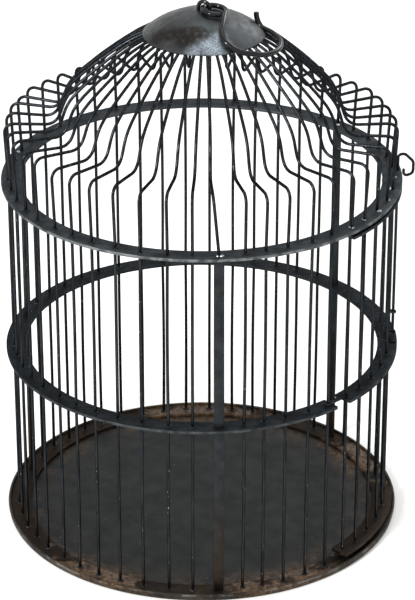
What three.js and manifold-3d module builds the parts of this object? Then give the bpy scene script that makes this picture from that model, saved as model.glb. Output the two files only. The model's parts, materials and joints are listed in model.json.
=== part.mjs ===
// Round wire bird cage: pan base, three flat hoops, upright wires that bend in over a shoulder to a
// domed cap, a barred door at the front right, a drop-pin latch and a hook that lies on the cap.
// Millimetres, +Z up. The origin is the centre of the pan's underside and -Y is the front.
import * as THREE from 'three';
import { mergeVertices } from 'three/addons/utils/BufferGeometryUtils.js';
import Module from 'manifold-3d';

const wasm = await Module();
wasm.setup();

// ---- driving dimensions -------------------------------------------------------------------------
const GAP = 0.3;                  // left between two pieces that touch
const RUN = 0.4;                  // radial clearance of a rod that turns or slides in a hole

const HOOP_R = 200;               // outer radius of the flat hoops
const BAND_WIDTH = 20;            // flat stock of the hoops and door bands
const BAND_T = 3;

const PAN_SHEET = 1.6;            // floor and wall of the base pan
const PAN_HEIGHT = 7;
const PAN_CLEAR = 0.8;            // hoop to pan wall
const PAN_BEAD_R = 1.5;           // rolled top edge

const MID_HOOP_TOP = 190;
const UPPER_HOOP_TOP = 373.5;

const WIRE_D = 3.2;
const WIRE_COUNT = 48;
const FIRST_WIRE_DEG = 5;         // first wire, turned from the front towards +X
const SET_BACK = {                // degrees that hand-set wires stand short of even spacing
  2: 1.2, 3: 2.2, 4: 2, 5: 2, 6: 1.7, 7: 2.6, 8: 2.6, 9: 2, 10: 1,
};
const WIRE_EDGE = 9;              // wire centre in from a hoop's outer edge
const SHOULDER_OUT = 4;           // how far the wires lean out above the upper hoop
const SHOULDER_RISE = 62.5;       // shoulder's wire centre above the upper hoop
const SHOULDER_SAG = 3;           // the shoulders stand up to twice this lower on one side
const SAG_DEG = 120;              // the side on which they are lowest
const SHOULDER_INSET = 46;        // shoulder's foot of the dome, in from the wire circle
const SHOULDER_DROP = 2.5;
const SHOULDER_BEND = 9;
const DOME_FOOT_BEND = 14;

const CAP_R = 60;
const CAP_ASIDE = 2.2;            // the cap sits this far towards +X, and the dome leans with it
const DOME_RISE = 87.8;           // shoulder to the cap's rim
const CAP_RISE = 23;
const CAP_SHEET = 1.5;
const CAP_OVERLAP = 15;           // how far the wires reach in under the cap

const STRAP_WIDTH = 10;
const STRAP_T = 3;
const STRAPS = [[0, 'front'], [17, 'back_right'], [33, 'left']];   // wire positions that hold a strap

const HINGE_WIRE = 5;             // wire position that the door turns on
const DOOR_WIRES = 6;             // wires in the door, in the positions after the hinge wire
const DOOR_HINGE_SPACE = 21.3;    // hinge wire to the door bands' ends, along the wire circle
const HOOP_HINGE_TAIL = 5.4;      // hinge wire to the middle hoop's cut end
const DOOR_BOTTOM_LIFT = 5.6;     // door's bottom band above the base hoop
const DOOR_TOP_DROP = 3;          // door's top band below the upper hoop

const LOOP_R = 4;                 // outside of the hinge loops
const LOOP_T = 2.4;
const LOOP_TAIL_W = 4.4;
const LOOP_LAP = 2.2;              // how far a hinge loop's tail laps over its door band

const PIN_D = 3;
const PIN_EDGE = 3.4;             // pin centre in from a hoop's outer edge
const PIN_TO_WIRE = 6;            // pin to the wire beside the door, along the wire circle
const HOOP_PIN_TAIL = 3.5;        // pin to the middle hoop's other cut end
const DOOR_END_GAP = 3.3;         // middle hoop's cut end to the door bands' ends
const KEEPER_T = 1.6;             // door keeper, the lug that the pin drops through
const KEEPER_INSIDE = 3.7;        // keeper's edges, in from the pin's centre and out from it
const KEEPER_OUTSIDE = 3.4;
const KEEPER_SLOT = [4.8, 7];     // across and along the keeper
const KEEPER_LAP = 14;            // keeper's lap on the door band, and its reach past the pin
const KEEPER_END = 5;
const PIN_LIFT = 2.9;             // pin tip above the keeper when the latch is open
const GUIDE_ABOVE_HOOP = 24;
const GUIDE_R = 3.3;              // outside of the latch guide
const GUIDE_T = 2;
const GUIDE_TAIL_W = 3;
const HANDLE = [                  // handle's corners out from the pin and above the upper hoop, and bends
  [0, 16.6, 4], [7, 17, 5], [15.6, 8.5, 7], [15.3, -4.2, 5], [6, -7.2, 3],
];
const HANDLE_END = [5.8, 1];

const EYE_ROD_D = 4;              // staple in the middle of the cap
const EYE_HALF = 5.8;
const EYE_FOOT = 8.5;
const HOOK_ROD_D = 5.4;
const HOOK_RING_R = 11.3;         // centre line of the hook's closed ring
const HOOK_LIE_DEG = 23;          // way the hook lies, turned from +X towards the front
const HOOK_TIP_RISE = 13;

const WIRE_SIDES = 6;             // facets round a wire, and round the holes it passes through
const PIN_SIDES = 8;
const BAND_STEP_DEG = 6;          // angle of one facet of a hoop
const LATHE_FACETS = 60;

// ---- places worked out from them ----------------------------------------------------------------
const WIRE_R = HOOP_R - WIRE_EDGE;
const SHOULDER_TOP = UPPER_HOOP_TOP + SHOULDER_RISE;
const CAP_RIM_Z = SHOULDER_TOP + DOME_RISE;
const PIN_R = HOOP_R - PIN_EDGE;
const PITCH = 360 / WIRE_COUNT;
const BASE_HOOP_TOP = PAN_SHEET + GAP + BAND_T;
const UPPER_HOOP_UNDER = UPPER_HOOP_TOP - BAND_T;
const DOOR_BOTTOM_Z = BASE_HOOP_TOP + DOOR_BOTTOM_LIFT;
const DOOR_TOP_Z = UPPER_HOOP_UNDER - DOOR_TOP_DROP - BAND_T;
const MID_HOOP_Z = MID_HOOP_TOP - BAND_T;
const LATCH_WIRE = HINGE_WIRE + DOOR_WIRES + 1;
const KEEPER_Z = MID_HOOP_TOP + GAP;

const wireDeg = (k) => FIRST_WIRE_DEG + k * PITCH - (SET_BACK[k] ?? 0);
const lowerBy = (k) => SHOULDER_SAG * (1 + Math.cos(THREE.MathUtils.degToRad(wireDeg(k) - SAG_DEG)));
const arcDeg = (length) => THREE.MathUtils.radToDeg(length / WIRE_R);
const HINGE_DEG = wireDeg(HINGE_WIRE);
const PIN_DEG = wireDeg(LATCH_WIRE) - arcDeg(PIN_TO_WIRE);
const PIN_TURN = THREE.MathUtils.degToRad(PIN_DEG - 90);
const HOOP_END_DEG = HINGE_DEG + arcDeg(HOOP_HINGE_TAIL);
const HOOP_START_DEG = PIN_DEG - arcDeg(HOOP_PIN_TAIL);
const DOOR_START_DEG = HINGE_DEG + arcDeg(DOOR_HINGE_SPACE);
const DOOR_END_DEG = HOOP_START_DEG - arcDeg(DOOR_END_GAP);

// ---- finishes -----------------------------------------------------------------------------------
const blackened = new THREE.MeshStandardMaterial({ color: 0x3a3f3f, roughness: 0.45, metalness: 0.9 });
const bandSteel = new THREE.MeshStandardMaterial({ color: 0x454b4a, roughness: 0.55, metalness: 0.85 });
const rusted = new THREE.MeshStandardMaterial({ color: 0x4a423a, roughness: 0.7, metalness: 0.6 });
const burnished = new THREE.MeshStandardMaterial({ color: 0x4d4b46, roughness: 0.4, metalness: 0.9 });
const glossBlack = new THREE.MeshStandardMaterial({ color: 0x17191b, roughness: 0.2, metalness: 0.7 });

// ---- helpers ------------------------------------------------------------------------------------
// A point at radius r and height z, turned by deg from the front (-Y) towards +X.
function polar(r, deg, z) {
  const a = THREE.MathUtils.degToRad(deg);
  return new THREE.Vector3(r * Math.sin(a), -r * Math.cos(a), z);
}

// A three.js geometry as a solid that can be joined and cut.
function solid(geometry) {
  const bare = geometry.clone();
  bare.deleteAttribute('normal');
  bare.deleteAttribute('uv');
  const merged = mergeVertices(bare, 1e-4);
  const vertProperties = new Float32Array(merged.attributes.position.array);
  const triVerts = new Uint32Array(merged.index.array);
  return new wasm.Manifold(new wasm.Mesh({ numProp: 3, vertProperties, triVerts }));
}

// A solid back as a three.js geometry.
function geometryOf(body) {
  const mesh = body.getMesh();
  const geometry = new THREE.BufferGeometry();
  geometry.setAttribute('position', new THREE.BufferAttribute(new Float32Array(mesh.vertProperties), 3));
  geometry.setIndex(new THREE.BufferAttribute(new Uint32Array(mesh.triVerts), 1));
  geometry.computeVertexNormals();
  return geometry;
}

// A path whose sections stand exactly at the given points.
class BentRod extends THREE.Curve {
  constructor(points) {
    super();
    this.points = points;
  }
  getPoint(t, target = new THREE.Vector3()) {
    const place = t * (this.points.length - 1);
    const i = Math.min(Math.floor(place + 1e-6), this.points.length - 2);
    return target.lerpVectors(this.points[i], this.points[i + 1], Math.max(0, place - i));
  }
  getPointAt(u, target) {
    return this.getPoint(u, target);
  }
  getTangentAt(u, target = new THREE.Vector3()) {
    const last = this.points.length - 1;
    const i = Math.round(u * last);
    const before = this.points[Math.max(i - 1, 0)];
    const after = this.points[Math.min(i + 1, last)];
    return target.subVectors(after, before).normalize();
  }
}

function rod(points, diameter, sides) {
  const section = new THREE.Shape();
  for (let i = 0; i < sides; i += 1) {
    const a = (i + 0.5) * 2 * Math.PI / sides;
    const corner = [diameter / 2 * Math.cos(a), diameter / 2 * Math.sin(a)];
    if (i === 0) section.moveTo(...corner);
    else section.lineTo(...corner);
  }
  section.closePath();
  const settings = { steps: points.length - 1, extrudePath: new BentRod(points), bevelEnabled: false };
  return new THREE.ExtrudeGeometry(section, settings);
}

// The corner points of a bent rod with each inner corner rounded: [point, bend radius, steps].
function rounded(corners) {
  const path = [corners[0][0]];
  for (let i = 1; i < corners.length - 1; i += 1) {
    const [corner, radius, steps] = corners[i];
    const back = corners[i - 1][0].clone().sub(corner).normalize();
    const ahead = corners[i + 1][0].clone().sub(corner).normalize();
    const reach = radius / Math.tan(back.angleTo(ahead) / 2);
    const start = corner.clone().addScaledVector(back, reach);
    const end = corner.clone().addScaledVector(ahead, reach);
    const bend = new THREE.QuadraticBezierCurve3(start, corner, end);
    path.push(...bend.getPoints(steps));
  }
  path.push(corners[corners.length - 1][0]);
  return path;
}

// A flat band of hoop stock from one angle to another, or a closed hoop when they are 360 apart.
function band(fromDeg, toDeg, z, inner = HOOP_R - BAND_WIDTH, outer = HOOP_R, height = BAND_T) {
  const segments = Math.max(2, Math.round((toDeg - fromDeg) / BAND_STEP_DEG));
  const whole = toDeg - fromDeg >= 360;
  const outline = new THREE.Shape();
  const turn = (i) => THREE.MathUtils.degToRad(fromDeg + (toDeg - fromDeg) * i / segments - 90);
  const corner = (r, i) => [r * Math.cos(turn(i)), r * Math.sin(turn(i))];
  outline.moveTo(...corner(outer, 0));
  for (let i = 1; i <= segments - (whole ? 1 : 0); i += 1) outline.lineTo(...corner(outer, i));
  if (whole) {
    const hole = new THREE.Path();
    hole.moveTo(...corner(inner, 0));
    for (let i = segments - 1; i > 0; i -= 1) hole.lineTo(...corner(inner, i));
    hole.closePath();
    outline.holes.push(hole);
  } else {
    for (let i = segments; i >= 0; i -= 1) outline.lineTo(...corner(inner, i));
  }
  outline.closePath();
  return new THREE.ExtrudeGeometry(outline, { depth: height, bevelEnabled: false }).translate(0, 0, z);
}

// A solid that cuts an upright hole. Its flats, not its corners, stand at the given radius.
function drill(place, radius, height, sides) {
  const corner = radius / Math.cos(Math.PI / sides);
  const tool = new THREE.CylinderGeometry(corner, corner, height, sides).rotateX(Math.PI / 2);
  return solid(tool.translate(place.x, place.y, place.z));
}

const group = new THREE.Group();

function add(name, geometry, material) {
  const mesh = new THREE.Mesh(geometry, material);
  mesh.name = name;
  group.add(mesh);
}

// ---- which position holds what ------------------------------------------------------------------
const isStrap = (k) => STRAPS.some(([at]) => at === k);
const isDoor = (k) => k > HINGE_WIRE && k <= HINGE_WIRE + DOOR_WIRES;
const positions = Array.from({ length: WIRE_COUNT }, (_, k) => k);
const fullWires = positions.filter((k) => !isStrap(k) && !isDoor(k));
const doorWires = positions.filter(isDoor);

// ---- base ---------------------------------------------------------------------------------------
function basePan() {
  const wallIn = HOOP_R + PAN_CLEAR;
  const wallOut = wallIn + PAN_SHEET;
  const beadIn = wallIn - (PAN_BEAD_R * 2 - PAN_SHEET) / 4;
  const beadLow = PAN_HEIGHT - PAN_BEAD_R * 1.4;
  const profile = [
    [0, 0], [wallOut - 1, 0], [wallOut, 1], [wallOut, beadLow], [wallOut + PAN_BEAD_R / 2, beadLow + 0.6],
    [wallOut + PAN_BEAD_R / 2, PAN_HEIGHT - 0.5], [wallOut, PAN_HEIGHT], [beadIn + 0.2, PAN_HEIGHT],
    [wallIn, PAN_HEIGHT - 0.5], [wallIn, PAN_SHEET], [0, PAN_SHEET],
  ];
  const points = profile.map(([r, z]) => new THREE.Vector2(r, z));
  return new THREE.LatheGeometry(points, LATHE_FACETS).rotateX(Math.PI / 2);
}

// ---- hoops --------------------------------------------------------------------------------------
function drilled(body, wires, z) {
  let cut = body;
  for (const k of wires) {
    const place = polar(WIRE_R, wireDeg(k), z + BAND_T / 2);
    cut = cut.subtract(drill(place, WIRE_D / 2 + GAP, BAND_T + 2, WIRE_SIDES));
  }
  return cut;
}

function pinHole(body, z, height) {
  const place = polar(PIN_R, PIN_DEG, z + height / 2);
  return body.subtract(drill(place, PIN_D / 2 + RUN, height + 2, PIN_SIDES));
}

function midHoop() {
  let body = solid(band(HOOP_START_DEG, HOOP_END_DEG + 360, MID_HOOP_Z));
  body = drilled(body, fullWires, MID_HOOP_Z);
  for (const [k] of STRAPS) body = body.subtract(solid(strapBar(k, GAP, MID_HOOP_Z - 1, MID_HOOP_TOP + 1)));
  return geometryOf(pinHole(body, MID_HOOP_Z, BAND_T));
}

function upperHoop() {
  const body = drilled(solid(band(0, 360, UPPER_HOOP_UNDER)), fullWires, UPPER_HOOP_UNDER);
  return geometryOf(pinHole(body, UPPER_HOOP_UNDER, BAND_T));
}

// ---- upright straps -----------------------------------------------------------------------------
function strapBar(k, grow, low, high) {
  const bar = new THREE.BoxGeometry(STRAP_WIDTH + 2 * grow, STRAP_T + 2 * grow, high - low);
  bar.rotateZ(THREE.MathUtils.degToRad(wireDeg(k)));
  const place = polar(WIRE_R, wireDeg(k), (low + high) / 2);
  return bar.translate(place.x, place.y, place.z);
}

// ---- wires --------------------------------------------------------------------------------------
// Heights of the dome on its way from the shoulder's foot to the cap, as [share of the way, height
// share]: it rises steeply at first and flattens out under the cap.
const DOME_LINE = [[0.2, 0.4], [0.7, 0.82], [1, 1]];
const SHORT_WIRE_TURN = { 0: 1.6 };        // degrees that a wire on the upper hoop leans aside
const CAP_WIRE_Z = CAP_RIM_Z - GAP - WIRE_D * 0.56 - 0.8;      // wire centre as it passes the cap's rim

function domeCorner(share, rise, sag = 0) {
  const foot = WIRE_R - SHOULDER_INSET;
  const low = SHOULDER_TOP - SHOULDER_DROP - sag;
  return [foot + (CAP_R - foot) * share, low + (CAP_WIRE_Z - low) * rise];
}

function wirePath(k, low) {
  const shoulderZ = SHOULDER_TOP - lowerBy(k);
  const aside = (z) => CAP_ASIDE * Math.max(0, (z - shoulderZ) / (CAP_WIRE_Z - shoulderZ));
  const above = (r, z) => {
    const place = polar(r, wireDeg(k) - (SHORT_WIRE_TURN[k] ?? 0), z);
    return place.setX(place.x + aside(z));
  };
  const dome = DOME_LINE.map(([share, rise]) => above(...domeCorner(share, rise, lowerBy(k))));
  const shoulder = rounded([
    [polar(WIRE_R, wireDeg(k), UPPER_HOOP_TOP + 2)],
    [above(WIRE_R + SHOULDER_OUT, shoulderZ), SHOULDER_BEND, 2],
    [above(WIRE_R - SHOULDER_INSET, shoulderZ - SHOULDER_DROP), DOME_FOOT_BEND, 2],
    [dome[0]],
  ]);
  const end = above(CAP_R - CAP_OVERLAP, CAP_WIRE_Z + 4);
  return [polar(WIRE_R, wireDeg(k), low), ...shoulder, ...dome.slice(1), end];
}

const fullWire = (k) => rod(wirePath(k, BASE_HOOP_TOP + GAP), WIRE_D, WIRE_SIDES);
const domeWire = (k) => rod(wirePath(k, UPPER_HOOP_TOP + GAP), WIRE_D, WIRE_SIDES);

// The six short wires over the door, held together by a run of weld under the cap.
function doorDomeWires() {
  const ends = CAP_R - CAP_OVERLAP + 1;
  const first = wireDeg(doorWires[0]);
  const last = wireDeg(doorWires[doorWires.length - 1]);
  const run = band(first - 1, last + 1, CAP_WIRE_Z + 1.6, ends, ends + 3, 2.6).translate(CAP_ASIDE, 0, 0);
  return geometryOf(doorWires.reduce((body, k) => body.add(solid(domeWire(k))), solid(run)));
}

// ---- door ---------------------------------------------------------------------------------------
const doorBand = (z) => band(DOOR_START_DEG, DOOR_END_DEG, z);

// The middle band with the door's upright wires welded through it.
function doorGrille() {
  let body = solid(doorBand(MID_HOOP_Z));
  const low = DOOR_BOTTOM_Z + BAND_T + GAP;
  const high = DOOR_TOP_Z - GAP;
  for (const k of doorWires) {
    const upright = [polar(WIRE_R, wireDeg(k), low), polar(WIRE_R, wireDeg(k), high)];
    body = body.add(solid(rod(upright, WIRE_D, WIRE_SIDES)));
  }
  return geometryOf(body);
}

// The lug on the end of the middle band, with the slot that the latch pin drops through.
function doorKeeper() {
  const lugStart = DOOR_END_DEG - arcDeg(KEEPER_LAP);
  const lugEnd = PIN_DEG + arcDeg(KEEPER_END);
  const lug = band(lugStart, lugEnd, KEEPER_Z, PIN_R - KEEPER_INSIDE, PIN_R + KEEPER_OUTSIDE, KEEPER_T);
  const slot = new THREE.BoxGeometry(...KEEPER_SLOT, KEEPER_T + 2).rotateZ(PIN_TURN);
  const place = polar(PIN_R, PIN_DEG, KEEPER_Z + KEEPER_T / 2);
  return geometryOf(solid(lug).subtract(solid(slot.translate(place.x, place.y, place.z))));
}

// A flat loop round a rod at one place, with a tail of the given length towards a second place. Its
// sizes are [outer radius, thickness, width of the tail].
function loopWithTail(centre, towards, bore, tail, [outer, thickness, tailWidth]) {
  const outline = new THREE.Shape();
  const half = tailWidth / 2;
  const start = Math.asin(half / outer);
  outline.moveTo(tail, half);
  for (let i = 0; i <= 10; i += 1) {
    const a = start + (2 * Math.PI - 2 * start) * i / 10;
    outline.lineTo(outer * Math.cos(a), outer * Math.sin(a));
  }
  outline.lineTo(tail, -half);
  outline.closePath();
  const hole = new THREE.Path();
  hole.absarc(0, 0, bore, 0, 2 * Math.PI, true);
  outline.holes.push(hole);
  const plate = new THREE.ExtrudeGeometry(outline, { depth: thickness, bevelEnabled: false, curveSegments: 5 });
  const way = towards.clone().sub(centre);
  plate.rotateZ(Math.atan2(way.y, way.x));
  return plate.translate(centre.x, centre.y, centre.z);
}

function hingeLoop(z) {
  const centre = polar(WIRE_R, HINGE_DEG, z);
  const along = polar(WIRE_R, DOOR_START_DEG, z);
  const tail = DOOR_HINGE_SPACE + LOOP_LAP;
  return loopWithTail(centre, along, WIRE_D / 2 + RUN, tail, [LOOP_R, LOOP_T, LOOP_TAIL_W]);
}

// ---- latch --------------------------------------------------------------------------------------
// The wire beside the door, with the loop that guides the latch pin welded to it.
function wireWithGuide() {
  const z = MID_HOOP_TOP + GUIDE_ABOVE_HOOP;
  const centre = polar(PIN_R, PIN_DEG, z);
  const wire = polar(WIRE_R, wireDeg(LATCH_WIRE), z);
  const sizes = [GUIDE_R, GUIDE_T, GUIDE_TAIL_W];
  const guide = loopWithTail(centre, wire, PIN_D / 2 + RUN, centre.distanceTo(wire), sizes);
  return geometryOf(solid(fullWire(LATCH_WIRE)).add(solid(guide)));
}

function latchPin() {
  const at = (out, rise) => polar(PIN_R + out, PIN_DEG, UPPER_HOOP_TOP + rise);
  const path = rounded([
    [polar(PIN_R, PIN_DEG, KEEPER_Z + KEEPER_T + PIN_LIFT)],
    ...HANDLE.map(([out, rise, bend]) => [at(out, rise), bend, 3]),
    [at(...HANDLE_END)],
  ]);
  return rod(path, PIN_D, PIN_SIDES);
}

// ---- cap, staple and hook -----------------------------------------------------------------------
const CAP_SPHERE = (CAP_R ** 2 + CAP_RISE ** 2) / (2 * CAP_RISE);
const CAP_TOP = CAP_RIM_Z + CAP_RISE;
const capZ = (r) => CAP_TOP - CAP_SPHERE + Math.sqrt(CAP_SPHERE ** 2 - r ** 2);

const lieRad = THREE.MathUtils.degToRad(HOOK_LIE_DEG);
const LIE = new THREE.Vector3(Math.cos(lieRad), -Math.sin(lieRad), 0);
const EYE_SEAT = CAP_TOP + HOOK_ROD_D / 2 + 0.6;      // hook ring's rod as it passes through the staple

function cap() {
  const rows = 6;
  const outside = [];
  const inside = [];
  for (let i = 0; i <= rows; i += 1) {
    const r = CAP_R * i / rows;
    const innerR = (CAP_R - CAP_SHEET / 2) * i / rows;
    outside.push(new THREE.Vector2(r, capZ(r)));
    inside.push(new THREE.Vector2(innerR, capZ(innerR) - CAP_SHEET * (1 + 0.1 * i / rows)));
  }
  const profile = [...inside, ...outside.reverse()];
  const sheet = solid(new THREE.LatheGeometry(profile, 36).rotateX(Math.PI / 2));
  const legs = [-EYE_HALF, EYE_HALF].map((s) => {
    return drill(LIE.clone().multiplyScalar(s).setZ(CAP_TOP), EYE_ROD_D / 2 + GAP, 12, PIN_SIDES);
  });
  return geometryOf(sheet.subtract(legs[0]).subtract(legs[1])).translate(CAP_ASIDE, 0, 0);
}

function capEye() {
  const at = (s, z) => LIE.clone().multiplyScalar(s).setZ(z);
  const crown = EYE_SEAT + HOOK_ROD_D / 2 + 1 + EYE_ROD_D / 2;
  const feet = CAP_TOP - CAP_SHEET - 6;
  const out = EYE_HALF + EYE_FOOT;
  return rod(rounded([
    [at(-out, feet)],
    [at(-EYE_HALF, feet), 2.6, 3],
    [at(-EYE_HALF, crown), 4.2, 4],
    [at(EYE_HALF, crown), 4.2, 4],
    [at(EYE_HALF, feet), 2.6, 3],
    [at(out, feet)],
  ]), EYE_ROD_D, PIN_SIDES).translate(CAP_ASIDE, 0, 0);
}

// Height of the hook's centre line where it lies on the cap or, past its rim, on the dome wires.
function lieHeight(r) {
  const offset = HOOK_ROD_D / 2 + GAP;
  const rim = CAP_R + 2;
  const sphere = CAP_SPHERE + offset;
  if (r <= rim) return CAP_TOP - CAP_SPHERE + Math.sqrt(sphere ** 2 - r ** 2);
  const [footR, footZ] = domeCorner(DOME_LINE[1][0], DOME_LINE[1][1]);
  const slope = Math.atan2(CAP_WIRE_Z - footZ, footR - CAP_R);
  const over = (offset + WIRE_D / 2) / Math.cos(slope);
  const onWires = footZ + over + (footR - r) * Math.tan(slope);
  return Math.max(onWires, lieHeight(rim) - (r - rim) * 0.5);
}

// The hook's way over the cap and dome, seen from above: down to the front, round and back.
const HOOK_WAY = [
  [22.4, -9], [21, -24], [19.5, -39], [23, -49.5], [36, -54.5], [50, -53], [62, -47], [71, -37],
  [76, -24], [75.5, -11], [69, -1], [60, 7.5],
];

function hook() {
  const dip = Math.atan2(EYE_SEAT - lieHeight(2 * HOOK_RING_R), 2 * HOOK_RING_R);
  const centre = LIE.clone().multiplyScalar(HOOK_RING_R);
  centre.x += CAP_ASIDE;
  centre.z = EYE_SEAT - Math.sin(dip) * HOOK_RING_R;
  const ring = new THREE.TorusGeometry(HOOK_RING_R, HOOK_ROD_D / 2, PIN_SIDES, 24);
  ring.rotateY(dip);
  ring.rotateZ(-lieRad);
  ring.translate(centre.x, centre.y, centre.z);
  const plan = new THREE.CatmullRomCurve3(HOOK_WAY.map(([x, y]) => new THREE.Vector3(x, y, 0)));
  const way = plan.getPoints(26).map((p) => p.setZ(lieHeight(Math.hypot(p.x - CAP_ASIDE, p.y)) + 0.3));
  const end = way[way.length - 1];
  const bend = [[0.35, 0.12], [0.6, 0.4], [0.72, 0.7], [0.75, 1]];
  const tip = bend.map(([go, rise]) => {
    return new THREE.Vector3(end.x - 9 * go, end.y + 8 * go, end.z + 2 * go + HOOK_TIP_RISE * rise);
  });
  return geometryOf(solid(ring).add(solid(rod([...way, ...tip], HOOK_ROD_D, 8))));
}

// ---- the cage -----------------------------------------------------------------------------------
add('base_pan', basePan(), rusted);
add('base_hoop', band(0, 360, PAN_SHEET + GAP), rusted);
add('mid_hoop', midHoop(), bandSteel);
add('upper_hoop', upperHoop(), bandSteel);

for (const [k, side] of STRAPS) {
  add(`strap_${side}`, strapBar(k, 0, BASE_HOOP_TOP + GAP, UPPER_HOOP_UNDER - GAP), bandSteel);
  add(`dome_wire_${side}`, domeWire(k), blackened);
}

fullWires.forEach((k, i) => {
  const wire = k === LATCH_WIRE ? wireWithGuide() : fullWire(k);
  add(`cage_wire_${String(i + 1).padStart(2, '0')}`, wire, blackened);
});

add('dome_wires_over_door', doorDomeWires(), blackened);
add('door_bottom_band', doorBand(DOOR_BOTTOM_Z), bandSteel);
add('door_grille', doorGrille(), bandSteel);
add('door_keeper', doorKeeper(), bandSteel);
add('door_top_band', doorBand(DOOR_TOP_Z), bandSteel);
add('hinge_loop_middle', hingeLoop(MID_HOOP_TOP + GAP), bandSteel);
add('hinge_loop_top', hingeLoop(DOOR_TOP_Z + BAND_T + GAP), bandSteel);
add('latch_pin', latchPin(), blackened);
add('cap', cap(), burnished);
add('cap_eye', capEye(), blackened);
add('hook', hook(), glossBlack);

export default group;
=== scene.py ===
"""Round wire bird cage: its visible pieces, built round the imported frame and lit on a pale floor."""

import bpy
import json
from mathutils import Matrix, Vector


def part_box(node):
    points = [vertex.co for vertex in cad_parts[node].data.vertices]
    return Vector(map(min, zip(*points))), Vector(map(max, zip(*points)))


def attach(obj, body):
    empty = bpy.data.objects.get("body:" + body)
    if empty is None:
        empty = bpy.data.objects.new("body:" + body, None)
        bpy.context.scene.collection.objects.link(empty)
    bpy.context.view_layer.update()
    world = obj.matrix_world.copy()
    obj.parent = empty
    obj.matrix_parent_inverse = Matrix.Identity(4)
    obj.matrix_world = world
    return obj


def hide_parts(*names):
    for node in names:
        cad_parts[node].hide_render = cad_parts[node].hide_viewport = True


bl_info = {
    "name": "Round Wire Bird Cage",
    "version": (1, 0, 0),
    "blender": (4, 5, 0),
    "location": "View3D > Sidebar > Bird Cage",
    "description": "Builds the hoops, bars, door, latch, cap and hook of a round wire bird cage",
    "category": "Object",
}

import json
import math
import random

import bmesh
import bpy
from mathutils import Matrix, Vector, noise
from mathutils.geometry import interpolate_bezier

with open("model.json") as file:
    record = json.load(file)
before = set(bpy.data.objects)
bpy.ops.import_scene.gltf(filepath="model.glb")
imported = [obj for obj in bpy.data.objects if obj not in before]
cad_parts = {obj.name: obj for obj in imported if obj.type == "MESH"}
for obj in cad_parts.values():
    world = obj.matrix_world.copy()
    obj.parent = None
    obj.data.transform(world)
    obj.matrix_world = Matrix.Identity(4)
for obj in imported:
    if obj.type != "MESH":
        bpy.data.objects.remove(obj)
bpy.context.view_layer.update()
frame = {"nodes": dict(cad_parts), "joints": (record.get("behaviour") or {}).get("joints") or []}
NODES = frame["nodes"]
FULL_TURN = 2 * math.pi
DOOR_BARS = 6
FLAT_BAR_WIDE = 0.020

# ---- the cage's own plan, read from the frame -------------------------------------------------------


def azimuth(point):
    """Angle round the cage, from the front (-Y) towards +X."""
    return math.atan2(point.x, -point.y)


def polar(radius, turn, height):
    """A point at that radius, angle and height."""
    return Vector((radius * math.sin(turn), -radius * math.cos(turn), height))


def radius_of(point):
    """Distance from the cage's upright axis."""
    return math.hypot(point.x, point.y)


def corners_of(name):
    """The corner points of one frame node."""
    return [vertex.co for vertex in NODES[name].data.vertices]


def foot_of(name):
    """Middle of the lowest points of one frame node."""
    points = corners_of(name)
    low = min(point.z for point in points)
    ring = [point for point in points if point.z < low + 2e-4]
    return sum(ring, Vector()) / len(ring)


def sweep_of(name):
    """Angles at which a hoop or band that isn't closed begins and ends."""
    turns = sorted({round(azimuth(point), 5) for point in corners_of(name)})
    gaps = [(after - before, before, after) for before, after in zip(turns, turns[1:])]
    widest, end, start = max(gaps)
    if widest > turns[0] + FULL_TURN - turns[-1]:
        return start, end + FULL_TURN
    return turns[0], turns[-1]


def levels_of(name):
    """Lowest and highest level of one frame node."""
    low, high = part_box(name)
    return low.z, high.z


def door_turns():
    """Angles of the door's upright bars, from their upper ends."""
    points = corners_of("door_grille")
    top = max(point.z for point in points)
    turns = sorted(azimuth(point) for point in points if point.z > top - 1e-4)
    sides = len(turns) // DOOR_BARS
    return [sum(turns[i * sides:(i + 1) * sides]) / sides for i in range(DOOR_BARS)]


WIRES = sorted(name for name in NODES if name.startswith("cage_wire_"))
SHORT_WIRES = sorted(name for name in NODES if name.startswith("dome_wire_"))
STRAPS = sorted(name for name in NODES if name.startswith("strap_"))
BASE_TOP = levels_of("base_hoop")[1]
MID_LEVELS = levels_of("mid_hoop")
UPPER_LEVELS = levels_of("upper_hoop")
HOOP_OUT = max(radius_of(point) for point in corners_of("upper_hoop"))
HOOP_IN = HOOP_OUT - FLAT_BAR_WIDE
BAR_CIRCLE = radius_of(foot_of("cage_wire_06"))
HINGE_TURN = azimuth(foot_of("cage_wire_05"))
LATCH_BAR_TURN = azimuth(foot_of("cage_wire_06"))
DOOR_TURNS = door_turns()
PIN_FOOT = foot_of("latch_pin")
PIN_TURN = azimuth(PIN_FOOT)
PIN_CIRCLE = radius_of(PIN_FOOT)
CAP_LEVELS = levels_of("cap")
CAP_ASIDE = sum(corner.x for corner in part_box("cap")) / 2
CAP_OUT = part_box("cap")[1].x - CAP_ASIDE


# ---- sizes and colours that a user would change -----------------------------------------------------


def linear(code):
    """An sRGB hex colour as linear red, green and blue."""
    shares = [int(code[i:i + 2], 16) / 255 for i in (1, 3, 5)]
    return tuple(s / 12.92 if s <= 0.04045 else ((s + 0.055) / 1.055) ** 2.4 for s in shares)


def length(name, description, default):
    """A length setting, in metres."""
    return bpy.props.FloatProperty(
        name=name, description=description, default=default, min=0.0, precision=5, unit="LENGTH")


def colour(name, description, code):
    """A colour setting, given as sRGB hex."""
    return bpy.props.FloatVectorProperty(
        name=name, description=description, default=linear(code), size=3, min=0.0, max=1.0, subtype="COLOR")


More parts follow.
